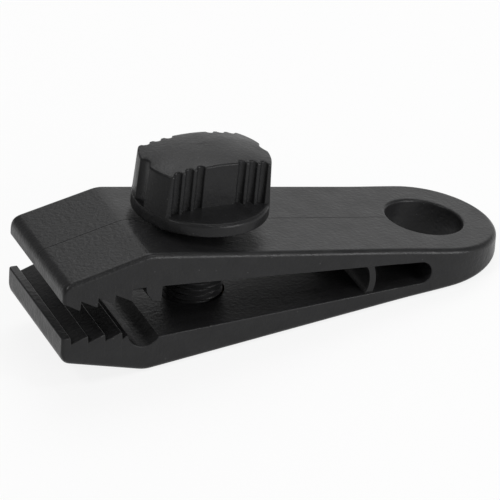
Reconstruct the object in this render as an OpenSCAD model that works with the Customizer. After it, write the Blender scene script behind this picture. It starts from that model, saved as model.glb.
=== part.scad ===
// Thumb-screw tarp clip: two toothed jaws that grow from an eyelet and close on a sheet's edge.
// The clip is drawn about its middle plane, jaws towards -X and eyelet at the origin, and is then
// turned so that the lower jaw's outer face lies on the ground.

/* [Clip body] */
// Eyelet centre to the front of the jaws
jaw_reach = 81.5; // [76:0.5:90]
// Front of the jaws back to the bend where the nose turns inwards
bend_reach = 17.5; // [15:0.5:20]
// Angle between the outer faces of the two jaws
spread = 15; // [14:0.5:18]
// Angle of the nose against the middle plane
nose_angle = 14.5; // [8:0.5:16]
// Radius on the nose's outer front edge
nose_round = 2.4; // [1:0.1:3]
// Width across the front of the jaws
front_w = 31; // [30:0.5:36]

/* [Eyelet] */
// Outer radius of the eyelet
eyelet_r = 14.5; // [13:0.1:15.5]
// Thickness of the clip at the eyelet's centre
eyelet_t = 8.4; // [7:0.1:9]
// Diameter of the eyelet's bore
eyelet_bore = 15.5; // [10:0.1:18]
// Wall left round the bore where the slot passes it
bore_wall = 1.2; // [0.8:0.1:1.4]

/* [Slot] */
// Height of the slot at its round rear end
slot_gap = 4.6; // [4:0.1:5]
// Eyelet centre to the centre of the slot's round end
slot_reach = 6.8; // [5:0.1:8]
// Angle between the inner faces of the two jaws
slot_spread = 6.5; // [5:0.1:7]
// Eyelet centre to the line where the upper jaw bends
flex_reach = 11.5; // [10.5:0.1:14]
// Running clearance round the upper jaw's knuckle
knuckle_play = 0.08; // [0.03:0.01:0.1]
// Relief in front of the knuckle's seat
knuckle_relief = 0.4; // [0.3:0.05:0.8]

/* [Teeth] */
// Teeth on each jaw
tooth_n = 4; // [3:1:4]
// Distance from tip to tip
tooth_pitch = 3.5; // [3:0.1:3.6]
// Depth of the upper jaw's teeth
upper_tooth_depth = 1.9; // [1:0.1:2.2]
// Depth of the lower jaw's teeth
lower_tooth_depth = 1.4; // [1:0.1:2]
// Middle plane to the first upper tooth's tip
upper_bite = 2.7; // [2.6:0.1:3.6]
// Middle plane to the first lower tooth's tip
lower_bite = 2.9; // [2.4:0.1:4]
// Front of the jaw to the first upper tooth's tip
upper_tip_back = 3.5; // [3:0.1:4]
// Front of the jaw to the first lower tooth's tip
lower_tip_back = 1.8; // [1.2:0.1:2.2]
// Angle at which each row of tips falls away towards the rear
bite_angle = 2.6; // [1:0.1:4]

/* [Groove and rib] */
// Front of the jaws back to the middle of the lower jaw's groove
groove_reach = 17; // [16.5:0.1:18]
// Radius of the groove
groove_r = 3.5; // [3:0.1:3.8]
// Depth of the groove
groove_depth = 1.5; // [1.2:0.1:2.5]
// Front of the jaws back to the flat rear face of the upper jaw's rib
rib_reach = 20.1; // [19.5:0.1:20.7]
// Radius of the rib's round front
rib_r = 3.2; // [2.5:0.1:3.4]
// Height of the web between the last tooth and the rib
web_h = 1.2; // [0.8:0.1:1.6]
// How far the web stands back from the jaw's sides
web_setback = 1.5; // [1:0.1:3]

/* [Spring bow] */
// Line where the upper jaw bends to the middle of the bow
bow_reach = 5.3; // [4.5:0.1:14]
// Thickness of the bow
bow_t = 1.4; // [1:0.1:2]
// Radius of the bow's middle line
bow_r = 7; // [5:0.5:12]
// Play between the bow and the upper jaw
bow_play = 0.15; // [0.1:0.05:0.3]
// How far the bow stands back from the jaws' sides
bow_setback = 0.6; // [0.3:0.1:2]

/* [Screw] */
// Front of the jaws back to the screw, on the upper jaw's outer face
screw_reach = 33.2; // [33:0.1:37.5]
// Angle through which the upper jaw closes
close_angle = 5; // [4:0.1:5]
// Diameter of the stem over its thread
stem_d = 12; // [8:0.1:12.4]
// How far the stem reaches into the lower jaw
stem_grip = 3.6; // [3:0.1:4]
// Chamfer on the stem's end
stem_chamfer = 1; // [0.5:0.1:2]
// Length of the stem inside the knob
stem_socket = 7; // [5:0.5:8]
// Play of the stem in the upper jaw's hole, on the radius
hole_play = 0.7; // [0.6:0.05:1.2]
// Play of the stem in the bush, on the radius
thread_play = 0.08; // [0.03:0.01:0.1]
// Play of the stem in the lower jaw's hole, on the radius
tip_play = 0.4; // [0.2:0.05:0.8]
// Outer radius of the bush
bush_r = 8; // [7.5:0.1:9]
// Length of the bush
bush_len = 2.4; // [2:0.1:2.5]
// Least plastic between the bush and the lower jaw's inner face
bush_cover = 0.8; // [0.6:0.1:0.9]
// Seat clearance round the bush
bush_seat = 0.02; // [0.01:0.01:0.05]

/* [Knob] */
// Radius of the round flange
flange_r = 13.5; // [12:0.1:14.5]
// Thickness of the flange
flange_t = 2.6; // [2:0.1:4]
// Radius on the flange's upper edge
flange_round = 1; // [0.5:0.1:1.2]
// Width of the grip across its flat sides
grip_w = 14.8; // [13.5:0.1:17]
// Radius of the grip's round ends
grip_r = 13; // [11.5:0.1:13.4]
// How much wider the round ends are at the flange than at the top
end_draft = 0.4; // [0:0.05:0.45]
// Height of the grip's side walls above the flange
grip_h = 8.4; // [7:0.1:12]
// Rise of the domed top above the side walls
dome_rise = 2; // [1:0.1:3]
// Turn of the grip from the clip's length
grip_turn = 5; // [0:1:45]
// Grooves in each group on the grip's sides
groove_n = 3; // [2:1:3]
// Distance between grooves
groove_pitch = 2.4; // [1.9:0.1:2.6]
// Radius of each groove
grip_groove_r = 0.85; // [0.4:0.05:0.9]
// Flat land between each corner and its first groove
grip_land = 0.6; // [0.3:0.1:1]
// Radius of the groove down the middle of each round end
end_groove_r = 2.4; // [1.5:0.1:4]
// Depth of the groove in each round end
end_groove_depth = 0.9; // [0.4:0.1:1.2]
// Thickness of the collar under the flange
collar_t = 1.6; // [1.4:0.1:3]
// Outer radius of the collar
collar_r = 8; // [7.2:0.1:10]
// Play between collar and stem, and collar and flange
collar_play = 0.1; // [0.05:0.01:0.2]
// Gap between the collar's front edge and the upper jaw when open
seat_gap = 0.3; // [0.2:0.05:0.6]

/* [Hidden] */
$fn = 96;
// Overlap that lets a cut pass a face cleanly
eps = 0.5;
nylon = [0.055, 0.055, 0.06];
brass = [0.72, 0.56, 0.3];

// Eyelet centre to the bend, the groove, the rib, the screw and the bow
bend = jaw_reach - bend_reach;
groove = jaw_reach - groove_reach;
ribline = jaw_reach - rib_reach;
screw = jaw_reach - screw_reach;
bow = flex_reach + bow_reach;

half_spread = spread / 2;
half_slot = slot_spread / 2;
stem_r = stem_d / 2;
bore_r = eyelet_bore / 2;
// The screw stands square to the upper jaw when the jaws are closed
lean = half_spread - close_angle;
wide = front_w + 2 * eps;

// Half thickness over the outer faces, and half of the slot, at a distance ahead of the eyelet
function outer(reach) = eyelet_t / 2 + reach * tan(half_spread);
function inner(reach) = slot_gap / 2 + (reach - slot_reach) * tan(half_slot);
// Outer height of the nose
function nose(reach) = outer(bend) - (reach - bend) * tan(nose_angle);
// Half width of the clip
function half_w(reach) = eyelet_r + (front_w / 2 - eyelet_r) * reach / jaw_reach;
function arc(x, z, r, from, to, steps) =
    [for (i = [0:steps]) let (a = from + (to - from) * i / steps) [x + r * cos(a), z + r * sin(a)]];

knuckle_z = (outer(flex_reach) + inner(flex_reach)) / 2;
knuckle_r = (outer(flex_reach) - inner(flex_reach)) / 2 * cos(half_spread);

// Tip number i of a row that starts back from the jaw's front, and its height above the middle plane
function tip_reach(back, i) = jaw_reach - back - i * tooth_pitch;
function tip_z(bite, i) = bite + i * tooth_pitch * tan(bite_angle);
// One saw-toothed row, front to rear: each tip with its steep rear face
function teeth(back, bite, depth) =
    [for (i = [0:tooth_n - 1]) each [
        [-tip_reach(back, i), tip_z(bite, i)],
        [-tip_reach(back, i), tip_z(bite, i) + depth]]];
last_upper = tip_reach(upper_tip_back, tooth_n - 1);

// The rounding on the nose's front edge, which leaves some flat front above the teeth
front_wall = nose(jaw_reach) - upper_bite - upper_tooth_depth;
front_round = min(nose_round, front_wall * cos(nose_angle));

// Outline of the front, from the bend round the nose's rounded edge, for z above the middle plane
function nose_outline() =
    concat([[-bend, outer(bend)]],
           arc(-jaw_reach + front_round, nose(jaw_reach - front_round) - front_round / cos(nose_angle),
               front_round, 90 + nose_angle, 180, 5));

// Jaw outlines in the x-z plane, both written for the upper side
upper_outline = concat(
    [[-flex_reach, outer(flex_reach)]],
    nose_outline(),
    [[-jaw_reach, upper_bite + upper_tooth_depth]],
    teeth(upper_tip_back, upper_bite, upper_tooth_depth),
    [[-last_upper, inner(last_upper)],
     [-flex_reach, inner(flex_reach)]]);
lower_outline = concat(
    [[-flex_reach, outer(flex_reach)]],
    nose_outline(),
    [[-jaw_reach, lower_bite]],
    teeth(lower_tip_back, lower_bite, lower_tooth_depth),
    [[-ribline, inner(ribline)],
     [-flex_reach, inner(flex_reach)]]);

// Heights along the screw's own axis, from the upper jaw's outer face
collar_z = collar_r * tan(close_angle) + seat_gap;
flange_z = collar_z + collar_t + collar_play;
grip_z = flange_z + flange_t;
dome_r = (grip_r * grip_r + dome_rise * dome_rise) / (2 * dome_rise);
// Down the screw to the lower jaw's inner and outer faces
screw_foot = (outer(screw) + inner(screw)) / cos(lean);
lower_t = (outer(screw) - inner(screw)) / cos(lean);
bush_top = -screw_foot - bush_r * tan(lean + half_slot) - bush_cover;
stem_end = -screw_foot - stem_grip;

// From the middle plane's frame to the frame in which the clip lies on its lower jaw
module lie() { rotate([0, half_spread, 0]) translate([0, 0, eyelet_t / 2]) children(); }
// The screw's own frame, at the upper jaw's outer face
module on_screw() {
    translate([-screw, 0, outer(screw)]) rotate([0, lean, 0]) children();
}
// An x-z outline carried across the clip's width
module across(w) { rotate([90, 0, 0]) linear_extrude(height = w, center = true) children(); }
// The clip's outline seen from above
module plan() {
    tall = 2 * outer(bend) + 2 * eps;
    linear_extrude(height = tall, center = true) union() {
        circle(r = eyelet_r);
        polygon([[0, -eyelet_r], [0, eyelet_r], [-jaw_reach - eps, half_w(jaw_reach + eps)],
                 [-jaw_reach - eps, -half_w(jaw_reach + eps)]]);
    }
}

module upper_jaw() {
    color(nylon) lie() difference() {
        intersection() {
            union() {
                across(wide) polygon(upper_outline);
                rib();
                web();
                knuckle();
            }
            plan();
        }
        on_screw() translate([0, 0, -screw_foot])
            cylinder(r = stem_r + hole_play, h = screw_foot + collar_z + eps);
    }
}

// Quarter-round rib behind the upper teeth, with a flat rear face
module rib() {
    across(wide) {
        intersection() {
            translate([-ribline, inner(ribline)]) circle(r = rib_r);
            translate([-ribline - rib_r, inner(ribline) - rib_r]) square(rib_r);
        }
        translate([-ribline - rib_r, inner(ribline)]) square([rib_r, eps]);
    }
}

// Web that stiffens the recess between the last tooth and the rib
module web() {
    web_w = 2 * (half_w(ribline) - web_setback);
    translate([-last_upper - eps, -web_w / 2, inner(last_upper) - web_h])
        cube([last_upper - ribline - rib_r / 2 + eps, web_w, web_h + eps]);
}

// Round end of the upper jaw, on the line where it bends
module knuckle() {
    translate([-flex_reach, 0, knuckle_z]) rotate([90, 0, 0])
        cylinder(r = knuckle_r, h = wide, center = true);
}

module lower_jaw() {
    color(nylon) lie() difference() {
        intersection() {
            mirror([0, 0, 1]) across(wide) polygon(lower_outline);
            plan();
        }
        translate([-groove, 0, -inner(groove) - groove_depth + groove_r]) rotate([90, 0, 0])
            cylinder(r = groove_r, h = wide, center = true);
        on_screw() translate([0, 0, bush_top - lower_t]) cylinder(r = bush_r + bush_seat, h = lower_t);
        on_screw() translate([0, 0, bush_top - eps]) cylinder(r = stem_r + tip_play, h = lower_t);
    }
}

module eyelet_block() {
    rear = -eyelet_r - eps;
    seat = flex_reach - knuckle_relief;
    color(nylon) lie() difference() {
        intersection() {
            across(wide) polygon([[-flex_reach, -outer(flex_reach)], [-rear, -outer(rear)],
                                  [-rear, outer(rear)], [-seat, outer(seat)],
                                  [-seat, 0], [-flex_reach, 0]]);
            plan();
        }
        slot_end();
        cylinder(r = bore_r, h = 2 * outer(flex_reach), center = true);
        translate([-flex_reach, 0, knuckle_z]) rotate([90, 0, 0])
            cylinder(r = knuckle_r + knuckle_play, h = wide, center = true);
    }
}

// Rear end of the slot, which leaves a wall round the bore
module slot_end() {
    difference() {
        across(wide) union() {
            translate([-slot_reach, 0]) circle(r = slot_gap / 2);
            polygon([[-slot_reach, -slot_gap / 2], [-slot_reach, slot_gap / 2],
                     [-flex_reach - eps, inner(flex_reach + eps)],
                     [-flex_reach - eps, -inner(flex_reach + eps)]]);
        }
        cylinder(r = bore_r + bore_wall, h = 2 * outer(flex_reach), center = true);
    }
}

// Strip bowed towards the eyelet, standing on the lower jaw and reaching the upper one
module spring_bow() {
    w = 2 * (half_w(bow) - bow_setback);
    color(nylon) lie() intersection() {
        translate([-bow - bow_r, 0, 0]) rotate([90, 0, 0]) difference() {
            cylinder(r = bow_r + bow_t / 2, h = w, center = true);
            cylinder(r = bow_r - bow_t / 2, h = w + eps, center = true);
        }
        across(w) polygon([[-bow - bow_r, -inner(bow + bow_r)], [-flex_reach, -inner(flex_reach)],
                           [-flex_reach, inner(flex_reach) - bow_play],
                           [-bow - bow_r, inner(bow + bow_r) - bow_play]]);
    }
}

module thumb_knob() {
    color(nylon) lie() on_screw() difference() {
        union() {
            translate([0, 0, flange_z]) flange();
            rotate(grip_turn) translate([0, 0, grip_z]) grip();
        }
        translate([0, 0, flange_z - eps]) cylinder(r = stem_r + bush_seat, h = stem_socket + eps);
    }
}

module flange() {
    cylinder(r = flange_r, h = flange_t - flange_round);
    cylinder(r = flange_r - flange_round, h = flange_t);
    translate([0, 0, flange_t - flange_round]) rotate_extrude()
        translate([flange_r - flange_round, 0]) circle(r = flange_round);
}

// Bar with grooved round ends, a domed top and a group of grooves by each corner
module grip() {
    corner = sqrt(grip_r * grip_r - grip_w * grip_w / 4);
    first_groove = corner - grip_land - grip_groove_r;
    tall = grip_h + dome_rise + flange_round;
    difference() {
        intersection() {
            translate([0, 0, -flange_round])
                cylinder(r1 = grip_r + end_draft, r2 = grip_r, h = tall);
            translate([-flange_r, -grip_w / 2, -flange_round]) cube([2 * flange_r, grip_w, tall]);
            translate([0, 0, grip_h + dome_rise - dome_r]) sphere(r = dome_r);
        }
        for (side = [-1, 1], end = [-1, 1], i = [0:groove_n - 1])
            translate([end * (first_groove - i * groove_pitch), side * grip_w / 2, 0])
                cylinder(r = grip_groove_r, h = grip_h + dome_rise);
        for (end = [-1, 1])
            translate([end * (grip_r - end_groove_depth + end_groove_r), 0, 0])
                cylinder(r = end_groove_r, h = grip_h + dome_rise);
    }
}

module threaded_stem() {
    top = flange_z + stem_socket;
    color(nylon) lie() on_screw() translate([0, 0, stem_end]) {
        cylinder(r1 = stem_r - stem_chamfer, r2 = stem_r, h = stem_chamfer);
        translate([0, 0, stem_chamfer]) cylinder(r = stem_r, h = top - stem_end - stem_chamfer);
    }
}

module thrust_collar() {
    color(nylon) lie() on_screw() translate([0, 0, collar_z]) difference() {
        cylinder(r = collar_r, h = collar_t);
        translate([0, 0, -eps]) cylinder(r = stem_r + collar_play, h = collar_t + 2 * eps);
    }
}

module threaded_bush() {
    color(brass) lie() on_screw() translate([0, 0, bush_top - bush_len]) difference() {
        cylinder(r = bush_r, h = bush_len);
        translate([0, 0, -eps]) cylinder(r = stem_r + thread_play, h = bush_len + 2 * eps);
    }
}

lower_jaw();
upper_jaw();
eyelet_block();
spring_bow();
thumb_knob();
threaded_stem();
thrust_collar();
threaded_bush();
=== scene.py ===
# %% [markdown]
# # Dressing a thumb-screw tarp clip
# The clip is a black nylon moulding that bends: two toothed jaws grow out of one eyelet, and a thumb
# screw pulls them together on the edge of a sheet. The imported model already has every piece at its
# real size, so this lesson only gives those pieces their rounded edges, their thread and their skin.
# We keep the imported pieces from the start, and hide each one once a skin stands in for it.

# %% Load the imported clip
import math

import bmesh
import bpy
from mathutils import Matrix, Vector


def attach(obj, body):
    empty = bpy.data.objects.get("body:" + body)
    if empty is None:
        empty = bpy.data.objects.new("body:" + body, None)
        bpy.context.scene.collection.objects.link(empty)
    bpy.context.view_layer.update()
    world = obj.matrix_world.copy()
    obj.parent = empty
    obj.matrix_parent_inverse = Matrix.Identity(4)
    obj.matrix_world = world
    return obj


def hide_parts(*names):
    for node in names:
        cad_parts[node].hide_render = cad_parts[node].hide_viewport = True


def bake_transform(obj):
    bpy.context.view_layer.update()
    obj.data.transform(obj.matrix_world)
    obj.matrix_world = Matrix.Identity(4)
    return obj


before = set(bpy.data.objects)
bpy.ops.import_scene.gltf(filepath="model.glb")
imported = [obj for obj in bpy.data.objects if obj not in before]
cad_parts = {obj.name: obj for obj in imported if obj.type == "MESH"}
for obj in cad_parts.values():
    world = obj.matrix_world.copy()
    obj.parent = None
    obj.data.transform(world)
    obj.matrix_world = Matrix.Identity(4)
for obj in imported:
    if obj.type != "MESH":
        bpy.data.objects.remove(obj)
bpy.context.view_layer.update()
print("nodes:", sorted(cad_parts))

# %% [markdown]
# ## The clip's own measures
# A clip like this is easiest to think of from its middle plane: distances run forward from the
# eyelet, and heights are the same above and below that plane. One matrix then lays the drawing down
# on its lower jaw, in metres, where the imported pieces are.

# %% Measures shared by the whole moulding
MM = 0.001
HALF_SPREAD = math.radians(7.5)
HALF_SLOT = math.radians(3.25)
EYELET_R = 14.5
EYELET_T = 8.4
EYELET_BORE_R = 7.75
JAW_REACH = 81.44
FRONT_W = 31.0
SLOT_GAP = 4.6
SLOT_REACH = 6.8
FLEX_REACH = 11.5
LAY_DOWN = (
    Matrix.Scale(MM, 4)
    @ Matrix.Rotation(HALF_SPREAD, 4, "Y")
    @ Matrix.Translation((0, 0, EYELET_T / 2))
)


def outer(reach):
    """Height of the outer faces, at a distance ahead of the eyelet."""
    return EYELET_T / 2 + reach * math.tan(HALF_SPREAD)


def inner(reach):
    """Height of the slot's faces."""
    return SLOT_GAP / 2 + (reach - SLOT_REACH) * math.tan(HALF_SLOT)


def half_width(reach):
    """Half of the clip's width, which grows a little towards the front."""
    return EYELET_R + (FRONT_W / 2 - EYELET_R) * reach / JAW_REACH


print("height over the jaws at the screw:", round(2 * outer(48), 2), "mm")

# %% [markdown]
# ## The camera
# The photograph was taken from the front left, well above the clip and from far off, so its lines
# hardly converge: a long lens a step away gives the same look. A camera's matrix is its right, up
# and back directions as columns, which lets us turn it about its own view line too.

# %% Place the camera
CAMERA_AZIMUTH = math.radians(-19.6)
CAMERA_HEIGHT_ANGLE = math.radians(30.2)
CAMERA_ROLL = math.radians(-4.5)
CAMERA_DISTANCE = 0.9
CAMERA_LENS = 331.9
SENSOR_WIDTH = 36
SIGHT_END = 20
CAMERA_AIM = Vector((-0.03616, -0.00076, 0.01153))

back = Vector((
    math.sin(CAMERA_AZIMUTH) * math.cos(CAMERA_HEIGHT_ANGLE),
    -math.cos(CAMERA_AZIMUTH) * math.cos(CAMERA_HEIGHT_ANGLE),
    math.sin(CAMERA_HEIGHT_ANGLE),
))
level_right = Vector((0, 0, 1)).cross(back).normalized()
right = Matrix.Rotation(CAMERA_ROLL, 3, back) @ level_right
up = back.cross(right)
camera = bpy.data.objects.new("camera", bpy.data.cameras.new("camera"))
bpy.context.scene.collection.objects.link(camera)
camera.data.lens = CAMERA_LENS
camera.data.sensor_width = SENSOR_WIDTH
camera.data.clip_end = SIGHT_END
camera.matrix_world = (
    Matrix.Translation(CAMERA_AIM + back * CAMERA_DISTANCE)
    @ Matrix((right, up, back)).transposed().to_4x4()
)
bpy.context.scene.camera = camera
print("camera stands at", [round(v, 3) for v in camera.matrix_world.translation])

# %% [markdown]
# ## The floor
# The clip lies on white paper with no edge in sight. Strong light on a plain sheet would make it white
# too, but that light would also flood the black plastic from below. So the paper looks white to the
# camera and in reflections, and a share of it stays ordinary paper, which takes a soft shadow.

# %% Lay the floor
FLOOR_HALF = 6.0
FLOOR_DROP = 0.0002
FLOOR_GLOW = 0.85
PAPER_WHITE = 0.93
PAPER_ROUGHNESS = 0.9
PAPER_SHINE = 0.1


def white_paper():
    """Paper that looks white straight on and in reflections, and still takes a shadow."""
    skin = bpy.data.materials.new("floor_paper")
    skin.use_nodes = True
    tree = skin.node_tree
    paint = tree.nodes["Principled BSDF"]
    paint.inputs["Base Color"].default_value = (PAPER_WHITE, PAPER_WHITE, PAPER_WHITE, 1)
    paint.inputs["Roughness"].default_value = PAPER_ROUGHNESS
    paint.inputs["Specular IOR Level"].default_value = PAPER_SHINE
    glow = tree.nodes.new("ShaderNodeEmission")
    path = tree.nodes.new("ShaderNodeLightPath")
    share = path.outputs["Is Camera Ray"]
    for label in ("Is Glossy Ray", "Is Transmission Ray"):
        both = tree.nodes.new("ShaderNodeMath")
        both.operation = "MAXIMUM"
        tree.links.new(share, both.inputs[0])
        tree.links.new(path.outputs[label], both.inputs[1])
        share = both.outputs["Value"]
    part = tree.nodes.new("ShaderNodeMath")
    part.operation = "MULTIPLY"
    part.inputs[1].default_value = FLOOR_GLOW
    tree.links.new(share, part.inputs[0])
    mix = tree.nodes.new("ShaderNodeMixShader")
    tree.links.new(part.outputs["Value"], mix.inputs["Fac"])
    tree.links.new(paint.outputs["BSDF"], mix.inputs[1])
    tree.links.new(glow.outputs["Emission"], mix.inputs[2])
    tree.links.new(mix.outputs["Shader"], tree.nodes["Material Output"].inputs["Surface"])
    return skin


def plain_floor():
    """A flat sheet just under the clip."""
    sheet = bmesh.new()
    corners = [(-FLOOR_HALF, -FLOOR_HALF), (FLOOR_HALF, -FLOOR_HALF)]
    corners += [(FLOOR_HALF, FLOOR_HALF), (-FLOOR_HALF, FLOOR_HALF)]
    sheet.faces.new([sheet.verts.new((x, y, -FLOOR_DROP)) for x, y in corners])
    mesh = bpy.data.meshes.new("floor")
    sheet.to_mesh(mesh)
    sheet.free()
    made = bpy.data.objects.new("floor", mesh)
    bpy.context.scene.collection.objects.link(made)
    mesh.materials.append(white_paper())
    return made


plain_floor()
print("floor is", 2 * FLOOR_HALF, "m wide")

# %% [markdown]
# ## The light
# Black plastic shows its form through what it mirrors, so each lamp is there for one kind of face. A
# pale world fills the dark side, and two lamps behind the clip slide along its top faces. A broad low
# lamp at the right, partly hidden by the floor, draws the thin bright line along each rounded edge, and
# two small high lamps pick out the rims. One big lamp overhead is simpler, but leaves the edges dull.

# %% Hang the lamps
WORLD_LEVEL = 0.3


def lamp(name, place, size, power):
    """A square soft lamp that looks at the middle of the clip."""
    data = bpy.data.lights.new(name, "AREA")
    data.shape = "SQUARE"
    data.size = size
    data.energy = power
    made = bpy.data.objects.new(name, data)
    bpy.context.scene.collection.objects.link(made)
    made.location = Vector(place)
    made.rotation_mode = "QUATERNION"
    made.rotation_quaternion = (CAMERA_AIM - made.location).to_track_quat("-Z", "Y")


world = bpy.data.worlds.new("surround")
bpy.context.scene.world = world
world.use_nodes = True
surround = world.node_tree.nodes["Background"]
surround.inputs["Color"].default_value = (1, 1, 1, 1)
surround.inputs["Strength"].default_value = WORLD_LEVEL
lamp("edge_lamp", (0.42, -0.66, 0.09), 0.4, 5.4)
lamp("top_lamp", (0.2, 0.4, 0.75), 0.5, 2.4)
lamp("rear_lamp", (0.4, 0.72, 0.38), 0.8, 1.4)
lamp("right_lamp", (0.29, -0.45, 0.72), 0.12, 1.0)
lamp("left_lamp", (-0.52, -0.16, 0.72), 0.15, 1.4)
bpy.context.scene.view_settings.view_transform = "Standard"

# %% [markdown]
# ## Skins made of rings
# Every piece here is a stack of rings joined by four-sided faces, which is how a lofted or turned
# part is described in a workshop: a few cross-sections and the way between them. Extruding a sketch
# and bevelling it later also works, but rings let each edge have its own radius and keep the mesh
# light. Flat faces stay flat because the normals are weighted by face area.

# %% Helpers that turn rings into pieces
SHARP_ANGLE = math.radians(40)
WELD_DISTANCE = 1e-5


def skin_rings(rings, closed=True, capped=True):
    """A bmesh with one row of faces between each ring and the next."""
    made = bmesh.new()
    rows = [[made.verts.new(p) for p in ring] for ring in rings]
    count = len(rows[0])
    for low, high in zip(rows, rows[1:]):
        for i in range(count if closed else count - 1):
            j = (i + 1) % count
            made.faces.new((low[i], low[j], high[j], high[i]))
    if capped:
        made.faces.new(rows[0][::-1])
        made.faces.new(rows[-1])
    return made


def make_piece(name, made, place):
    """Puts a finished bmesh into the scene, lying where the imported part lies."""
    bmesh.ops.remove_doubles(made, verts=made.verts, dist=WELD_DISTANCE)
    bmesh.ops.recalc_face_normals(made, faces=made.faces)
    made.transform(place)
    mesh = bpy.data.meshes.new(name)
    made.to_mesh(mesh)
    made.free()
    piece = bpy.data.objects.new(name, mesh)
    bpy.context.scene.collection.objects.link(piece)
    return piece


def smooth_piece(piece):
    """Smooth shading that keeps true corners sharp and flat faces flat."""
    piece.data.polygons.foreach_set("use_smooth", [True] * len(piece.data.polygons))
    piece.data.set_sharp_from_angle(angle=SHARP_ANGLE)
    weighted = piece.modifiers.new("flat_faces", "WEIGHTED_NORMAL")
    weighted.keep_sharp = True
    print(piece.name, "has", len(piece.data.polygons), "faces")


def combine(piece, other, operation):
    """Cuts or joins another closed piece and throws that one away."""
    step = piece.modifiers.new("combine", "BOOLEAN")
    step.operation = operation
    step.solver = "EXACT"
    step.object = other
    scene_state = bpy.context.evaluated_depsgraph_get()
    result = bpy.data.meshes.new_from_object(piece.evaluated_get(scene_state))
    piece.modifiers.clear()
    result.name = piece.name
    piece.data = result
    bpy.data.objects.remove(other)


print("helpers ready, sharp from", round(math.degrees(SHARP_ANGLE)), "degrees")

# %% [markdown]
# ## Round stretches
# The edges, teeth and grooves of a moulding are made of flat arcs and soft corners. A Bevel modifier
# rounds edges too, but points that are worked out here fall just where a cross-section needs them.

# %% Helpers for round stretches


def arc(centre, radius, start, end, steps):
    """Points on a flat arc, with angles in degrees."""
    turns = [math.radians(start + (end - start) * i / steps) for i in range(steps + 1)]
    return [(centre[0] + radius * math.cos(a), centre[1] + radius * math.sin(a)) for a in turns]


def soft_corner(before, corner, after, steps):
    """Points that round a corner between two points on its sides."""
    shares = [i / steps for i in range(steps + 1)]
    pulls = [((1 - t) ** 2, 2 * t * (1 - t), t**2) for t in shares]
    sides = list(zip(before, corner, after))
    return [tuple(a * p + b * q + c * r for p, q, r in sides) for a, b, c in pulls]


print("half way round a corner:", soft_corner((1, 0), (0, 0), (0, 1), 2)[1])

# %% [markdown]
# ## A jaw as a row of cross-sections
# Seen end on, a jaw is a plain rectangle with a soft outer edge and a crisp inner one, and only its
# height changes along its length. So we write two lines, the outer face and the toothed inner face,
# and take a cross-section wherever either of them has a corner. A hairline runs along the middle of
# the outer face, where the two halves of the mould met.

# %% Cross-sections of a jaw
OUTER_EDGE_R = 1.1
INNER_EDGE_R = 0.25
EDGE_STEPS = 6
EDGE_SHARE = 0.45
FRONT_CORNER_R = 0.7
FRONT_CORNER_TURNS = (0, 25, 45, 65, 90)
SEAM_HALF = 0.08
SEAM_DEPTH = 0.08


def height_at(line, reach):
    """Height of a line of (reach, height) points that runs from front to rear."""
    for (r0, z0), (r1, z1) in zip(line, line[1:]):
        if r0 >= reach >= r1 and r0 > r1:
            return z0 + (z1 - z0) * (r0 - reach) / (r0 - r1)
    return line[0][1] if reach > line[0][0] else line[-1][1]


def front_corner(reach):
    """How far the side steps in where it rounds into the jaw's front."""
    left = FRONT_CORNER_R - (JAW_REACH - reach)
    return FRONT_CORNER_R - math.sqrt(FRONT_CORNER_R**2 - left**2) if left > 0 else 0.0


def jaw_section(reach, inside, outside):
    """One rounded rectangle across the jaw, with the seam in its outer side."""
    half = half_width(reach) - front_corner(reach)
    soft = min(OUTER_EDGE_R, EDGE_SHARE * (outside - inside))
    top, low = outside - soft, inside + INNER_EDGE_R
    ring = arc((half - soft, top), soft, 0, 90, EDGE_STEPS)
    ring += [(SEAM_HALF, outside), (0, outside - SEAM_DEPTH), (-SEAM_HALF, outside)]
    ring += arc((soft - half, top), soft, 90, 180, EDGE_STEPS)
    ring += arc((INNER_EDGE_R - half, low), INNER_EDGE_R, 180, 270, EDGE_STEPS)
    ring += arc((half - INNER_EDGE_R, low), INNER_EDGE_R, 270, 360, EDGE_STEPS)
    return [Vector((-reach, y, z)) for y, z in ring]


def jaw_rings(inside_line, outside_line, extra):
    """Cross-sections from the front to the rear, one for each corner of the two lines."""
    corner_angles = [math.radians(a) for a in FRONT_CORNER_TURNS]
    front = [JAW_REACH - FRONT_CORNER_R * (1 - math.cos(a)) for a in corner_angles]
    wanted = [r for r, _ in inside_line] + [r for r, _ in outside_line] + front + extra
    reaches = sorted({round(r, 4) for r in wanted}, reverse=True)
    return [jaw_section(r, height_at(inside_line, r), height_at(outside_line, r)) for r in reaches]


print("points in a cross-section:", len(jaw_section(40, inner(40), outer(40))))

# %% [markdown]
# ## The outer face and the saw teeth
# Both jaws have the same kind of outer line: a straight plate, a soft bend, and a nose that dives to a
# rounded front edge, a little less steeply on the lower jaw. Each row of teeth is a saw: a long slope,
# a tip and a steep face behind it, repeated four times. The tips are a little round, as moulded teeth
# are, and catch a thin line of light.

# %% Lines of the outer face and the teeth
BEND_REACH = 64.0
BEND_SOFT = 1.2
BEND_STEPS = 4
UPPER_NOSE_ANGLE = math.radians(14.5)
NOSE_ROUND = 2.4
NOSE_STEPS = 8
TOOTH_COUNT = 4
TOOTH_PITCH = 3.5
TOOTH_STEEP = 0.12
TIP_R = 0.2
TIP_STEPS = 4
BITE_ANGLE = math.radians(2.6)


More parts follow.
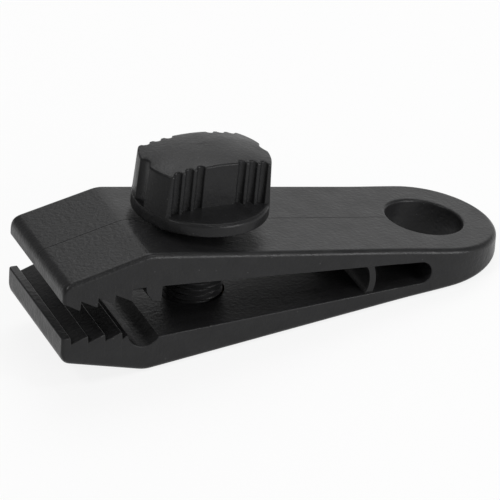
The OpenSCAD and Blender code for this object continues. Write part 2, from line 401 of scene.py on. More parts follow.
def outer_line(nose_angle):
    """Front edge, nose, softened bend and plate."""
    fall = math.tan(nose_angle)
    nose_top = outer(BEND_REACH) - (JAW_REACH - NOSE_ROUND - BEND_REACH) * fall
    centre = (-JAW_REACH + NOSE_ROUND, nose_top - NOSE_ROUND / math.cos(nose_angle))
    nose_edge = arc(centre, NOSE_ROUND, 180, 90 + math.degrees(nose_angle), NOSE_STEPS)
    front = [(-x, z) for x, z in nose_edge]
    nose_side = (BEND_REACH + BEND_SOFT, outer(BEND_REACH) - BEND_SOFT * fall)
    plate_side = (BEND_REACH - BEND_SOFT, outer(BEND_REACH - BEND_SOFT))
    bend = soft_corner(nose_side, (BEND_REACH, outer(BEND_REACH)), plate_side, BEND_STEPS)
    return front + bend + [(FLEX_REACH, outer(FLEX_REACH))]


def saw_row(first_tip_back, first_height, depth):
    """Tips and steep faces of one row, front to rear."""
    row = []
    for i in range(TOOTH_COUNT):
        tip = JAW_REACH - first_tip_back - i * TOOTH_PITCH
        height = first_height + i * TOOTH_PITCH * math.tan(BITE_ANGLE)
        row += arc((tip + TIP_R, height + TIP_R), TIP_R, 270, 180, TIP_STEPS)
        row.append((tip - TOOTH_STEEP, height + depth))
    return row


print("outer line:", [(round(r, 1), round(z, 1)) for r, z in outer_line(UPPER_NOSE_ANGLE)[::4]])

# %% [markdown]
# ## Where the screw goes
# The screw passes through both jaws and leans back a little. One more matrix stands things on its axis,
# with their height counted from the top of the upper jaw. Its holes are cut with plain cylinders, since
# a boolean is the shortest way to a round hole in a slanting plate.

# %% The screw's place, and pins to cut with
SCREW_REACH = 48.3
SCREW_LEAN = math.radians(2.5)
TURNED_SIDES = 64
ON_SCREW = (
    LAY_DOWN
    @ Matrix.Translation((-SCREW_REACH, 0, outer(SCREW_REACH)))
    @ Matrix.Rotation(SCREW_LEAN, 4, "Y")
)


def turned(profile):
    """Rings of (radius, height) points turned about an upright axis."""
    angles = [2 * math.pi * i / TURNED_SIDES for i in range(TURNED_SIDES)]
    return [[Vector((r * math.cos(a), r * math.sin(a), z)) for a in angles] for r, z in profile]


def plain_pin(radius, low, high, place):
    """A closed cylinder, used only to cut with."""
    return make_piece("plain_pin", skin_rings(turned([(radius, low), (radius, high)])), place)


print("screw enters at", [round(1000 * v, 1) for v in ON_SCREW.translation], "mm")

# %% [markdown]
# ## The upper jaw
# Behind its teeth the upper jaw has a recess and a quarter-round rib that presses the hem into the
# lower jaw's groove, with a low web between them. It is one moulding with the eyelet on the real
# clip, so this skin runs right up to the eyelet's, with extra cross-sections near the eyelet where it
# would bend. Nothing here bends it: its place is only baked into the mesh.

# %% Skin of the upper jaw
UPPER_TOOTH_DEPTH = 1.9
UPPER_BITE = 2.7
UPPER_TIP_BACK = 3.5
RIB_REACH = 61.4
RIB_R = 3.2
RIB_STEPS = 10
RIB_HAIR = 0.01
WEB_H = 1.2
WEB_SETBACK = 1.5
WEB_SUNK = 0.5
UPPER_HOLE_R = 6.7
UPPER_HOLE_LOW = -14
UPPER_HOLE_HIGH = 6
BEND_CUTS = 11
BEND_CUT_GAP = 1.5
LAST_UPPER = JAW_REACH - UPPER_TIP_BACK - (TOOTH_COUNT - 1) * TOOTH_PITCH


def upper_inside_line():
    """Teeth, recess, rib and slot face of the upper jaw."""
    teeth = saw_row(UPPER_TIP_BACK, UPPER_BITE, UPPER_TOOTH_DEPTH)
    recess = teeth[-1][0]
    rib = arc((RIB_REACH, inner(RIB_REACH)), RIB_R, 0, -90, RIB_STEPS)
    rib_foot = RIB_REACH + RIB_R
    return (
        [(JAW_REACH, UPPER_BITE + UPPER_TOOTH_DEPTH)]
        + teeth[:-1]
        + [(recess, inner(recess)), (rib_foot + RIB_HAIR, inner(rib_foot))]
        + rib
        + [(RIB_REACH - TOOTH_STEEP, inner(RIB_REACH)), (FLEX_REACH, inner(FLEX_REACH))]
    )


def recess_web():
    """The low web in the recess, set back from both sides."""
    half = half_width(RIB_REACH) - WEB_SETBACK
    ends = (LAST_UPPER + WEB_SUNK, RIB_REACH + RIB_R / 2)
    low, high = inner(LAST_UPPER) - WEB_H, inner(LAST_UPPER) + WEB_SUNK
    corners = [(-half, low), (half, low), (half, high), (-half, high)]
    rings = [[Vector((-reach, y, z)) for y, z in corners] for reach in ends]
    return make_piece("recess_web", skin_rings(rings), LAY_DOWN)


bend_cuts = [FLEX_REACH + BEND_CUT_GAP * i for i in range(1, BEND_CUTS + 1)]
upper_rings = jaw_rings(upper_inside_line(), outer_line(UPPER_NOSE_ANGLE), bend_cuts)
upper_skin = make_piece("upper_jaw_skin", skin_rings(upper_rings), LAY_DOWN)
combine(upper_skin, recess_web(), "UNION")
upper_hole = plain_pin(UPPER_HOLE_R, UPPER_HOLE_LOW, UPPER_HOLE_HIGH, ON_SCREW)
combine(upper_skin, upper_hole, "DIFFERENCE")
smooth_piece(upper_skin)

# %% [markdown]
# ## The lower jaw
# The lower jaw is the same plate upside down, with finer teeth, a soft lip and a round groove across
# it. Writing it the right way up and mirroring it at the end lets it share every helper. Below, a
# pocket holds the brass bush that the screw runs in.

# %% Skin of the lower jaw
LOWER_NOSE_ANGLE = math.radians(13.6)
LOWER_TOOTH_DEPTH = 1.4
LOWER_BITE = 2.9
LOWER_TIP_BACK = 1.8
LIP_R = 0.3
LIP_STEPS = 4
GROOVE_REACH = 64.5
GROOVE_R = 3.5
GROOVE_DEPTH = 1.5
GROOVE_FRONT = 10
GROOVE_REAR = 149
GROOVE_STEPS = 16
BUSH_R = 8.0
BUSH_COVER = 0.8
POCKET_PLAY = 0.02
POCKET_LOW = -30
STEM_HOLE_R = 6.4
STEM_HOLE_HIGH = -10
STEM_HOLE_SUNK = 1
SCREW_FOOT = (outer(SCREW_REACH) + inner(SCREW_REACH)) / math.cos(SCREW_LEAN)
BUSH_TOP = -SCREW_FOOT - BUSH_R * math.tan(SCREW_LEAN + HALF_SLOT) - BUSH_COVER
UPSIDE_DOWN = Matrix.Scale(-1, 4, (0, 0, 1))


def lower_inside_line():
    """Teeth, groove and slot face of the lower jaw, written as heights from the middle plane."""
    teeth = saw_row(LOWER_TIP_BACK, LOWER_BITE, LOWER_TOOTH_DEPTH)
    middle = (GROOVE_REACH, inner(GROOVE_REACH) + GROOVE_DEPTH - GROOVE_R)
    groove = arc(middle, GROOVE_R, GROOVE_FRONT, GROOVE_REAR, GROOVE_STEPS)
    lip = arc((JAW_REACH - LIP_R, LOWER_BITE + LIP_R), LIP_R, 0, -90, LIP_STEPS)
    return lip + teeth + groove + [(FLEX_REACH, inner(FLEX_REACH))]


lower_rings = jaw_rings(lower_inside_line(), outer_line(LOWER_NOSE_ANGLE), [])
lower_skin = make_piece("lower_jaw_skin", skin_rings(lower_rings), LAY_DOWN @ UPSIDE_DOWN)
bush_pocket = plain_pin(BUSH_R + POCKET_PLAY, POCKET_LOW, BUSH_TOP, ON_SCREW)
combine(lower_skin, bush_pocket, "DIFFERENCE")
stem_hole = plain_pin(STEM_HOLE_R, BUSH_TOP - STEM_HOLE_SUNK, STEM_HOLE_HIGH, ON_SCREW)
combine(lower_skin, stem_hole, "DIFFERENCE")
smooth_piece(lower_skin)

# %% [markdown]
# ## The eyelet
# At the rear the two jaws join in a wedge with a round end and a bore for a rope. A jaw's
# cross-sections would be awkward round that end, so here the outline is seen from above: a U that
# swells a little at the eye, and whose copies shrink inwards as they climb over the rounded edge.

# %% Outline of the eyelet
EYE_SWELL = 0.3
EYELET_STEPS = 40
SIDE_STEPS = 8


def eye_half(reach):
    """Half width of the eyelet's sides, which swell from the jaws to the eye."""
    share = min(1.0, max(0.0, 1 - reach / FLEX_REACH))
    return half_width(reach) + EYE_SWELL * share**2 * (3 - 2 * share)


def eyelet_outline(inset):
    """The U seen from above, stepped in by an inset: one side, round the rear, the other side."""
    reaches = [FLEX_REACH * (1 - i / SIDE_STEPS) for i in range(SIDE_STEPS)]
    side = [(-reach, eye_half(reach) - inset) for reach in reaches]
    rear = []
    for x, y in arc((0, 0), 1, 90, -90, EYELET_STEPS):
        rear.append((x * (EYELET_R - inset), y * (EYELET_R + EYE_SWELL - inset)))
    return side + rear + [(x, -y) for x, y in side[::-1]]


def edge_levels(radius):
    """Inset and drop of each step over a rounded edge, from the face out to the wall."""
    angles = [math.radians(90 - 90 * i / EDGE_STEPS) for i in range(EDGE_STEPS + 1)]
    return [(radius * (1 - math.cos(a)), radius * (1 - math.sin(a))) for a in angles]


print("points in the eyelet's outline:", len(eyelet_outline(0)))

# %% [markdown]
# The bore narrows a little downwards, as a moulded hole does, and its upper rim is rounder than its
# lower one. It could be cut with a boolean and bevelled, but as a second stack of rings each rim gets its
# own radius. The two flat faces are then filled between the walls and the bore.

# %% Walls and bore of the eyelet
TOP_RIM_R = 0.65
LOW_RIM_R = 0.1
BORE_DRAFT = 0.5
BORE_STEPS = 64
SAME_PLACE = 1e-4


def eyelet_mesh():
    """Walls, bore and the two flat faces of the eyelet's wedge."""
    walls, bores = [], []
    rims = [(1, TOP_RIM_R, EYELET_BORE_R), (-1, LOW_RIM_R, EYELET_BORE_R - BORE_DRAFT)]
    for side, rim_r, bore_r in rims:
        for inset, drop in edge_levels(OUTER_EDGE_R)[::side]:
            walls.append([Vector((x, y, side * (outer(-x) - drop))) for x, y in eyelet_outline(inset)])
        for inset, drop in edge_levels(rim_r)[::side]:
            circle = arc((0, 0), bore_r + inset, 0, 360, BORE_STEPS)[:-1]
            bores.append([Vector((x, y, side * (outer(-x) - drop))) for x, y in circle])
    made = skin_rings(walls, closed=False, capped=False)
    hole = skin_rings(bores, capped=False)
    hole_mesh = bpy.data.meshes.new("bore")
    hole.to_mesh(hole_mesh)
    hole.free()
    made.from_mesh(hole_mesh)
    bpy.data.meshes.remove(hole_mesh)
    end = [v for v in made.verts if abs(v.co.x + FLEX_REACH) < SAME_PLACE]
    far_end = sorted((v for v in end if v.co.y > 0), key=lambda v: v.co.z)
    near_end = sorted((v for v in end if v.co.y < 0), key=lambda v: -v.co.z)
    made.faces.new(far_end + near_end)
    for side in (1, -1):
        rim = [e for e in made.edges if e.is_boundary and all(v.co.z * side > 0 for v in e.verts)]
        bmesh.ops.triangle_fill(made, edges=rim, use_beauty=True)
    return made


eyelet_skin = make_piece("eyelet_skin", eyelet_mesh(), LAY_DOWN)
print("eyelet before cutting:", len(eyelet_skin.data.polygons), "faces")

# %% [markdown]
# The slot between the jaws ends inside the eyelet. Its cutter flares where it leaves each side, which
# softens the slot's edges in the same step, and it goes round the bore, so that a thin wall stays
# between the two. A second, hair-thin cutter carries the mould's seam on to the bore.

# %% Cut the slot and the seam
BORE_WALL = 1.2
WALL_PIN_HALF = 20
SLOT_STEPS = 24
SLOT_OVERRUN = 5
SIDE_OVERRUN = 2.0
SEAM_OVERRUN = 1
SEAM_ABOVE = 0.2


def slot_outline(grow):
    """The slot seen from the side, a wedge with a round end, grown by a little."""
    far = FLEX_REACH + SLOT_OVERRUN
    end = arc((-SLOT_REACH, 0), SLOT_GAP / 2 + grow, -90, 90, SLOT_STEPS)
    return [(-far, -inner(far) - grow)] + end + [(-far, inner(far) + grow)]


def slot_cutter():
    """The slot carried across the clip, flared where it leaves each side."""
    flare = [(drop, inset) for inset, drop in edge_levels(INNER_EDGE_R)]
    steps = [(-SIDE_OVERRUN, INNER_EDGE_R)] + flare
    rings = []
    for side in (-1, 1):
        for inset, grow in steps[:: -side]:
            points = slot_outline(grow)
            rings.append([Vector((x, side * (eye_half(-x) - inset), z)) for x, z in points])
    cutter = make_piece("slot_cutter", skin_rings(rings), LAY_DOWN)
    wall_pin = plain_pin(EYELET_BORE_R + BORE_WALL, -WALL_PIN_HALF, WALL_PIN_HALF, LAY_DOWN)
    combine(cutter, wall_pin, "DIFFERENCE")
    return cutter


def seam_cutter():
    """A hairline from the upper jaw's end to the bore."""
    wide = SEAM_HALF * (1 + SEAM_ABOVE / SEAM_DEPTH)
    corners = [(0, -SEAM_DEPTH), (wide, SEAM_ABOVE), (-wide, SEAM_ABOVE)]
    rings = []
    for reach in (FLEX_REACH + SEAM_OVERRUN, EYELET_BORE_R + TOP_RIM_R / 3):
        rings.append([Vector((-reach, y, outer(reach) + rise)) for y, rise in corners])
    return make_piece("seam_cutter", skin_rings(rings), LAY_DOWN)


combine(eyelet_skin, slot_cutter(), "DIFFERENCE")
combine(eyelet_skin, seam_cutter(), "DIFFERENCE")
smooth_piece(eyelet_skin)

# %% [markdown]
# ## The spring bow
# A thin strip stands in the slot and pushes the jaws apart again. It bows towards the eyelet and
# thickens where it grows out of each jaw. A bent sheet with a Solidify modifier would have one thickness
# all over, so we stack short cross-sections, each as thick as it has to be.

# %% Skin of the spring bow
BOW_REACH = 16.8
BOW_R = 7.0
BOW_T = 1.3
BOW_FOOT = 0.9
FOOT_POWER = 8
BOW_SETBACK = 0.5
BOW_STEPS = 16
BOW_SUNK = 0.3


def bow_rings():
    """Cross-sections of the strip from the lower jaw to the upper one."""
    rings = []
    half_height = inner(BOW_REACH) + BOW_SUNK
    half = half_width(BOW_REACH) - BOW_SETBACK
    for i in range(BOW_STEPS + 1):
        share = 2 * i / BOW_STEPS - 1
        z = half_height * share
        middle = BOW_REACH + BOW_R - math.sqrt(BOW_R**2 - z**2)
        thick = BOW_T + BOW_FOOT * abs(share) ** FOOT_POWER
        flat = [(-middle - thick / 2, -half), (-middle + thick / 2, -half)]
        flat += [(-middle + thick / 2, half), (-middle - thick / 2, half)]
        rings.append([Vector((x, y, z)) for x, y in flat])
    return rings


bow_skin = make_piece("spring_bow_skin", skin_rings(bow_rings()), LAY_DOWN)
smooth_piece(bow_skin)

# %% [markdown]
# ## The thumb knob
# The knob is a bar on a round flange, with grooves for the fingers. A real groove has soft shoulders,
# because the mould's edge is never knife sharp, and those shoulders are what catches the light. Grooves
# cut with cylinders would be sharp, so the depth of a groove is written as one arc that curls over into
# another.

# %% Grooves with soft shoulders
DIP_STEPS = 8
SHOULDER_STEPS = 4


def groove_reach(radius, depth, shoulder):
    """Half of a groove's width, out to where its shoulders end."""
    return math.sqrt((radius + shoulder) ** 2 - (radius - depth + shoulder) ** 2)


def groove_dip(off, radius, depth, shoulder):
    """Depth of a round groove with soft shoulders, at a distance off its middle."""
    reach = groove_reach(radius, depth, shoulder)
    off = abs(off)
    if off >= reach:
        return 0.0
    if off > radius * reach / (radius + shoulder):
        return shoulder - math.sqrt(shoulder**2 - (reach - off) ** 2)
    return math.sqrt(radius**2 - off**2) - (radius - depth)


def groove_places(radius, depth, shoulder):
    """Distances off a groove's middle, spread evenly round its arcs."""
    reach = groove_reach(radius, depth, shoulder)
    turn = math.asin(reach / (radius + shoulder))
    inside = [radius * math.sin(turn * k / DIP_STEPS) for k in range(DIP_STEPS + 1)]
    edge = [reach - shoulder * math.sin(turn * k / SHOULDER_STEPS) for k in range(SHOULDER_STEPS)]
    half = sorted(inside + edge)
    return [-x for x in half[:0:-1]] + half


print("depth across a groove:", [round(groove_dip(x / 2, 2, 1, 0.3), 2) for x in range(6)])

# %% [markdown]
# Seen from above, the grip is a circle cut by two flat sides, with three narrow grooves by each corner
# and a wider one in the middle of each round end. We note for each point which way is outward and how
# deep the groove is there, so that the grooves can be made deeper or shallower with height.

# %% Outline of the knob's grip
GRIP_R = 13.0
GRIP_HALF = 7.4
GRIP_LAND = 0.6
CORNER_R = 0.4
CORNER_STEPS = 5
FLUTE_R = 0.85
FLUTE_PITCH = 2.4
FLUTE_COUNT = 3
FLUTE_SHOULDER = 0.18
END_R = 2.4
END_DEPTH = 0.9
END_SHOULDER = 0.35
END_STEPS = 8
CORNER_Y = GRIP_HALF - CORNER_R
FIRST_FLUTE = math.sqrt(GRIP_R**2 - GRIP_HALF**2) - GRIP_LAND - FLUTE_R


def corner_x(radius):
    """How far out a corner's rounding is centred, for round ends of a radius."""
    return math.sqrt((radius - CORNER_R) ** 2 - CORNER_Y**2)


def side_places(radius):
    """(place along a flat side, groove depth there) from one corner to the other."""
    places = [(k * FLUTE_R, 0.0) for k in range(-3, 4)]
    places += [(-corner_x(radius), 0.0), (corner_x(radius), 0.0)]
    for i in range(FLUTE_COUNT):
        middle = FIRST_FLUTE - i * FLUTE_PITCH
        for off in groove_places(FLUTE_R, FLUTE_R, FLUTE_SHOULDER):
            dip = groove_dip(off, FLUTE_R, FLUTE_R, FLUTE_SHOULDER)
            places += [(middle + off, dip), (-middle - off, dip)]
    return sorted(places)


def end_places(radius):
    """(angle round an end, groove depth there) from one corner to the other."""
    corner = math.atan2(CORNER_Y, corner_x(radius))
    edge = groove_reach(END_R, END_DEPTH, END_SHOULDER) / radius
    plain = [edge + (corner - edge) * k / END_STEPS for k in range(1, END_STEPS)]
    places = [(a, 0.0) for a in plain] + [(-a, 0.0) for a in plain]
    for off in groove_places(END_R, END_DEPTH, END_SHOULDER):
        places.append((off / radius, groove_dip(off, END_R, END_DEPTH, END_SHOULDER)))
    return sorted(places)


def grip_outline(radius):
    """(smooth point, outward direction, groove depth) once round a grip with ends of a radius."""
    points = [(Vector((x, -GRIP_HALF)), Vector((0, -1)), dip) for x, dip in side_places(radius)]
    middle = corner_x(radius)
    corner = math.degrees(math.atan2(CORNER_Y, middle))
    turn_in = [Vector(p) for p in arc((0, 0), 1, -90, -corner, CORNER_STEPS)[1:]]
    turn_out = [Vector((p.x, -p.y)) for p in reversed(turn_in)]
    points += [(Vector((middle, -CORNER_Y)) + n * CORNER_R, n, 0.0) for n in turn_in]
    for angle, dip in end_places(radius):
        ray = Vector((math.cos(angle), math.sin(angle)))
        points.append((ray * radius, ray, dip))
    points += [(Vector((middle, CORNER_Y)) + n * CORNER_R, n, 0.0) for n in turn_out]
    return points + [(-p, -n, dip) for p, n, dip in points]


print("points round the grip:", len(grip_outline(GRIP_R)))

# %% [markdown]
# We carry that outline through the whole knob: it starts as the flange's circle, curves in over the
# bead, climbs out of a hollow into the wall and folds over a small edge into the domed top. The round
# ends lean in as they rise, so one outline serves the foot of the wall and a smaller one its top. The
# grooves fade in along the hollow, so they run out on the flange as they do on the real knob.

# %% Skin of the knob
GRIP_TURN = math.radians(5)
END_DRAFT = 0.4
CLOSE_ANGLE = math.radians(5)
COLLAR_R = 8.0
COLLAR_T = 1.6
COLLAR_PLAY = 0.1
SEAT_GAP = 0.3
FLANGE_R = 13.5
FLANGE_T = 2.6
GRIP_H = 8.4
DOME_RISE = 2.0
BEAD_R = 0.8
BEAD_SHARE = 0.6
BEAD_STEPS = 6
RIM_R = 0.2
RIM_STEPS = 3
COVE_RISE = 1.0
COVE_SHARE = 0.2
COVE_TURN = math.radians(60)
COVE_STEPS = 8
TOP_EDGE_R = 0.35
TOP_EDGE_STEPS = 4
DOME_SHARES = (0.95, 0.8, 0.6, 0.4, 0.2)
COLLAR_LOW = COLLAR_R * math.tan(CLOSE_ANGLE) + SEAT_GAP
FLANGE_Z = COLLAR_LOW + COLLAR_T + COLLAR_PLAY
FLANGE_TOP = FLANGE_Z + FLANGE_T
DOME_R = (GRIP_R**2 + DOME_RISE**2) / (2 * DOME_RISE)


def dome_height(point):
    """Height of the domed top over a point of the outline."""
    return FLANGE_TOP + GRIP_H + DOME_RISE - DOME_R + math.sqrt(DOME_R**2 - point.length_squared)


def quarter(steps):
    """Angles of a quarter turn."""
    return [math.pi / 2 * k / steps for k in range(steps + 1)]


def grip_path(low, high):
    """Points from the flange's underside over the bead, up the wall and onto the dome."""
    point, out, dip = low
    ray = point.normalized()
    bead = min(BEAD_R, BEAD_SHARE * (FLANGE_R - point.length))
    foot = ray * (FLANGE_R - bead)
    rise = min(COVE_RISE, COVE_SHARE * (foot - point).length)
    path = []
    for a in quarter(RIM_STEPS):
        rim = ray * (FLANGE_R - RIM_R * (1 - math.sin(a)))
        path.append((rim, FLANGE_Z + RIM_R * (1 - math.cos(a))))
    for a in quarter(BEAD_STEPS):
        brow = ray * (FLANGE_R - bead * (1 - math.cos(a)))
        path.append((brow, FLANGE_TOP - BEAD_R * (1 - math.sin(a))))
    for a in [COVE_TURN * k / COVE_STEPS for k in range(1, COVE_STEPS + 1)]:
        reach = math.sin(a) / math.sin(COVE_TURN)
        climb = (1 - math.cos(a)) / (1 - math.cos(COVE_TURN))
        hollow = point + (foot - point) * (1 - reach) - out * dip * reach
        path.append((hollow, FLANGE_TOP + rise * climb))
    point, out, dip = high
    for a in quarter(TOP_EDGE_STEPS):
        edge = point - out * (dip + TOP_EDGE_R * (1 - math.cos(a)))
        path.append((edge, dome_height(edge) - TOP_EDGE_R * (1 - math.sin(a))))
    for share in DOME_SHARES:
        inward = (point - out * (TOP_EDGE_R + END_DEPTH)) * share
        path.append((inward, dome_height(inward)))
    return path


def knob_rings():
    """The outline carried from the underside to the dome."""
    foot, top = grip_outline(GRIP_R + END_DRAFT), grip_outline(GRIP_R)
    paths = [grip_path(low, high) for low, high in zip(foot, top)]
    return [[Vector((p.x, p.y, z)) for p, z in level] for level in zip(*paths)]


TURNED_GRIP = ON_SCREW @ Matrix.Rotation(GRIP_TURN, 4, "Z")
knob_skin = make_piece("thumb_knob_skin", skin_rings(knob_rings()), TURNED_GRIP)
smooth_piece(knob_skin)

# %% [markdown]
# ## The threaded stem
# The stem's thread is a real helix. A Screw modifier can sweep a tooth round an axis, but the stem's core
# and its chamfered tip would have to be joined to it. Here the radius rises and falls as the turn and
# the height run along together, so one grid of points makes the whole screw.

# %% Skin of the stem
STEM_R = 6.0
STEM_GRIP = 3.6
STEM_SOCKET = 7.0
STEM_LOW = -SCREW_FOOT - STEM_GRIP
STEM_HIGH = FLANGE_Z + STEM_SOCKET
THREAD_PITCH = 1.25
THREAD_DEPTH = 0.6
FLANK_SLOPE = 1.6
ROOT_FLAT = 0.3
STEM_CHAMFER = 1.0
STEM_SIDES = 48
STEPS_PER_PITCH = 6


def thread_radius(turn, z):
    """Radius of the stem at a share of a turn and a height, with a chamfered end."""
    phase = (z / THREAD_PITCH - turn) % 1.0
    crest = min(1.0, max(0.0, FLANK_SLOPE * (1 - abs(2 * phase - 1)) - ROOT_FLAT))
    return min(STEM_R - THREAD_DEPTH * (1 - crest), STEM_R - STEM_CHAMFER + (z - STEM_LOW))


def stem_rings():
    """A ring of points every sixth of a pitch."""
    count = round((STEM_HIGH - STEM_LOW) / THREAD_PITCH * STEPS_PER_PITCH)
    rings = []
    for i in range(count + 1):
        z = STEM_LOW + (STEM_HIGH - STEM_LOW) * i / count
        turns = [k / STEM_SIDES for k in range(STEM_SIDES)]
        polar = [(thread_radius(t, z), 2 * math.pi * t) for t in turns]
        rings.append([Vector((r * math.cos(a), r * math.sin(a), z)) for r, a in polar])
    return rings


stem_skin = make_piece("threaded_stem_skin", skin_rings(stem_rings()), ON_SCREW)
smooth_piece(stem_skin)

# %% [markdown]
# ## The collar and the bush
# A plain collar carries the knob's push down to the jaw, and a brass bush in the lower jaw gives the
# screw a thread to run in. Both are plain rings. A bored and bevelled cylinder would do for them, but a
# small profile with four soft edges, turned about the screw's axis, needs no modifier.

# %% Skins of the collar and the bush
COLLAR_BORE_R = STEM_R + 0.1
COLLAR_SOFT = 0.3
BUSH_BORE_R = STEM_R + 0.08
BUSH_LEN = 2.4
BUSH_SOFT = 0.25
RING_STEPS = 3


def turned_ring(name, bore, radius, low, high, soft):
    """A ring with a small rounding on each of its four edges."""
    corners = [(radius - soft, low + soft, -90), (radius - soft, high - soft, 0)]
    corners += [(bore + soft, high - soft, 90), (bore + soft, low + soft, 180)]
    profile = []
    for r, z, start in corners:
        profile += arc((r, z), soft, start, start + 90, RING_STEPS)
    made = skin_rings(turned(profile + profile[:1]), capped=False)
    return make_piece(name, made, ON_SCREW)


collar_high = COLLAR_LOW + COLLAR_T
collar_skin = turned_ring(
    "thrust_collar_skin", COLLAR_BORE_R, COLLAR_R, COLLAR_LOW, collar_high, COLLAR_SOFT
)
bush_low = BUSH_TOP - BUSH_LEN
bush_skin = turned_ring("threaded_bush_skin", BUSH_BORE_R, BUSH_R, bush_low, BUSH_TOP, BUSH_SOFT)
smooth_piece(collar_skin)
smooth_piece(bush_skin)

# %% [markdown]
# ## Effects that several finishes share
# Moulded nylon isn't one flat black: the skin has a fine grain from the mould, a cloudy sheen and a
# few specks of dust. They could be painted in a picture, but noise has no seams and stays sharp close
# up. Each effect is a node group with its own inputs, so every material can use it at its own scale.

# %% Node groups for grain and dust
GRAIN_DETAIL = 3.0
CLOUD_DETAIL = 5.0


def new_group(name, inputs, outputs):
    """An empty shader group with named sockets, and its input and output nodes."""
    group = bpy.data.node_groups.new(name, "ShaderNodeTree")
    for label, kind in inputs:
        group.interface.new_socket(label, in_out="INPUT", socket_type=kind)
    for label in outputs:
        group.interface.new_socket(label, in_out="OUTPUT", socket_type="NodeSocketFloat")
    return group, group.nodes.new("NodeGroupInput"), group.nodes.new("NodeGroupOutput")


def add_node(tree, kind, links, **settings):
    """A node with its settings, and its inputs linked or set."""
    node = tree.nodes.new(kind)
    for key, value in settings.items():
        setattr(node, key, value)
    for socket, value in links.items():
        if isinstance(value, bpy.types.NodeSocket):
            tree.links.new(value, node.inputs[socket])
        else:
            node.inputs[socket].default_value = value
    return node


def moulded_grain():
    """Fine grain for bump, and a slow cloudiness for sheen."""
    sockets = [("Vector", "NodeSocketVector")]
    sockets += [("Grain Scale", "NodeSocketFloat"), ("Cloud Scale", "NodeSocketFloat")]
    group, given, result = new_group("moulded_grain", sockets, ["Grain", "Cloud"])
    for label, detail in (("Grain", GRAIN_DETAIL), ("Cloud", CLOUD_DETAIL)):
        scale = given.outputs[label + " Scale"]
        wanted = {"Vector": given.outputs["Vector"], "Scale": scale, "Detail": detail}
        noise = add_node(group, "ShaderNodeTexNoise", wanted)
        group.links.new(noise.outputs["Fac"], result.inputs[label])
    return group


def dust_specks():
    """Small pale specks scattered far apart."""
    sockets = [("Vector", "NodeSocketVector")]
    sockets += [("Spacing", "NodeSocketFloat"), ("Size", "NodeSocketFloat")]
    group, given, result = new_group("dust_specks", sockets, ["Speck"])
    wanted = {"Vector": given.outputs["Vector"], "Scale": given.outputs["Spacing"]}
    cells = add_node(group, "ShaderNodeTexVoronoi", wanted)
    limit = {0: cells.outputs["Distance"], 1: given.outputs["Size"]}
    near = add_node(group, "ShaderNodeMath", limit, operation="LESS_THAN")
    group.links.new(near.outputs["Value"], result.inputs["Speck"])
    return group


GRAIN = moulded_grain()
DUST = dust_specks()
print("groups:", [g.name for g in bpy.data.node_groups])

# %% [markdown]
# ## Black nylon
# Black nylon gets most of its brightness from sheen, so its colour is very dark and its roughness does
# the work. A brighter colour would look grey and chalky instead. The knob is a shade blacker and less
# shiny than the clip, so both come from one recipe with different values.

# %% The two nylons
MIX_A, MIX_B, MIX_RESULT = 6, 7, 2
GRAIN_DEPTH = 0.0002
GRAIN_STRENGTH = 0.4
NYLON_GRAIN = {"Grain Scale": 1300, "Cloud Scale": 260}
NYLON_DUST = {"Spacing": 420, "Size": 0.05}
NYLON_SHEEN = {"From Min": 0.3, "From Max": 0.7, "To Min": 0.3, "To Max": 0.42}
DUST_GREY = (0.045, 0.045, 0.045, 1)


def nylon(name, dark, pale, shine):
    """Satin black nylon with a moulded grain and a little dust."""
    skin = bpy.data.materials.new(name)
    skin.use_nodes = True
    tree = skin.node_tree
    paint = tree.nodes["Principled BSDF"]
    place = tree.nodes.new("ShaderNodeTexCoord").outputs["Object"]
    grain = add_node(tree, "ShaderNodeGroup", {"Vector": place, **NYLON_GRAIN}, node_tree=GRAIN)
    dust = add_node(tree, "ShaderNodeGroup", {"Vector": place, **NYLON_DUST}, node_tree=DUST)
    black = {0: grain.outputs["Cloud"], MIX_A: (*dark, 1), MIX_B: (*pale, 1)}
    tone = add_node(tree, "ShaderNodeMix", black, data_type="RGBA")
    layers = {0: dust.outputs["Speck"], MIX_A: tone.outputs[MIX_RESULT], MIX_B: DUST_GREY}
    dusty = add_node(tree, "ShaderNodeMix", layers, data_type="RGBA")
    sheen = add_node(tree, "ShaderNodeMapRange", {"Value": grain.outputs["Cloud"], **NYLON_SHEEN})
    relief = {"Height": grain.outputs["Grain"], "Strength": GRAIN_STRENGTH, "Distance": GRAIN_DEPTH}
    bump = add_node(tree, "ShaderNodeBump", relief)
    tree.links.new(dusty.outputs[MIX_RESULT], paint.inputs["Base Color"])
    tree.links.new(sheen.outputs["Result"], paint.inputs["Roughness"])
    tree.links.new(bump.outputs["Normal"], paint.inputs["Normal"])
    paint.inputs["Specular IOR Level"].default_value = shine
    return skin


clip_nylon = nylon("clip_nylon", (0.01, 0.01, 0.0105), (0.018, 0.018, 0.0185), 0.2)
knob_nylon = nylon("knob_nylon", (0.009, 0.009, 0.0095), (0.016, 0.016, 0.0165), 0.16)
print("nylons:", clip_nylon.name, knob_nylon.name)

# %% [markdown]
# ## Turned brass
# Brass is a metal, so its colour is in its reflection and Metallic is full. The bush is small and seen
# only from below, and the same grain group, set finer, is enough to break up its sheen.

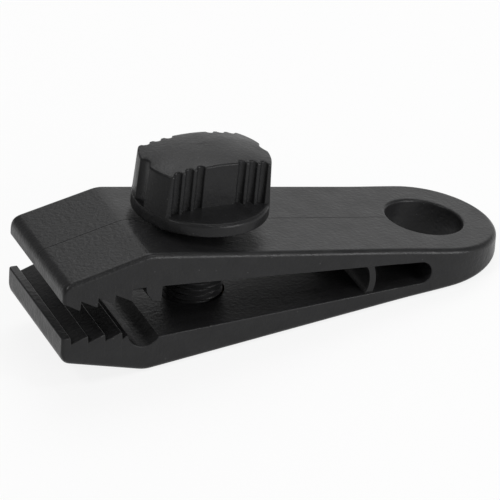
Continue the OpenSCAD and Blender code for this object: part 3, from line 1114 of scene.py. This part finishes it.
# %% The bush's brass
BRASS_GRAIN = {"Grain Scale": 1800, "Cloud Scale": 300}
BRASS_SHEEN = {"To Min": 0.25, "To Max": 0.42}
BRASS_DARK = (0.56, 0.4, 0.18, 1)
BRASS_PALE = (0.68, 0.51, 0.25, 1)


def turned_brass():
    """Brass whose sheen is broken up by a fine grain."""
    skin = bpy.data.materials.new("turned_brass")
    skin.use_nodes = True
    tree = skin.node_tree
    paint = tree.nodes["Principled BSDF"]
    place = tree.nodes.new("ShaderNodeTexCoord").outputs["Object"]
    grain = add_node(tree, "ShaderNodeGroup", {"Vector": place, **BRASS_GRAIN}, node_tree=GRAIN)
    metal = {0: grain.outputs["Cloud"], MIX_A: BRASS_DARK, MIX_B: BRASS_PALE}
    tone = add_node(tree, "ShaderNodeMix", metal, data_type="RGBA")
    sheen = add_node(tree, "ShaderNodeMapRange", {"Value": grain.outputs["Grain"], **BRASS_SHEEN})
    tree.links.new(tone.outputs[MIX_RESULT], paint.inputs["Base Color"])
    tree.links.new(sheen.outputs["Result"], paint.inputs["Roughness"])
    paint.inputs["Metallic"].default_value = 1.0
    return skin


bush_brass = turned_brass()
print("metal:", bush_brass.name)

# %% [markdown]
# ## Which piece moves with what
# Most skins ride on one body. The upper jaw and the bow are plastic that bends, one end with the
# eyelet and the other with the jaw, but here they ride on no body: their place is baked into their
# meshes.


def dress(piece, skin, nodes):
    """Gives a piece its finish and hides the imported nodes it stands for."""
    piece.data.materials.clear()
    piece.data.materials.append(skin)
    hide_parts(*nodes)


dress(upper_skin, clip_nylon, ["upper_jaw"])
dress(lower_skin, clip_nylon, ["lower_jaw"])
dress(eyelet_skin, clip_nylon, ["eyelet_block"])
dress(bow_skin, clip_nylon, ["spring_bow"])
dress(knob_skin, knob_nylon, ["thumb_knob"])
dress(stem_skin, knob_nylon, ["threaded_stem"])
dress(collar_skin, knob_nylon, ["thrust_collar"])
dress(bush_skin, bush_brass, ["threaded_bush"])
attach(lower_skin, "clip_base")
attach(eyelet_skin, "clip_base")
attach(bush_skin, "clip_base")
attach(knob_skin, "screw")
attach(stem_skin, "screw")
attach(collar_skin, "collar")
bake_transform(upper_skin)
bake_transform(bow_skin)
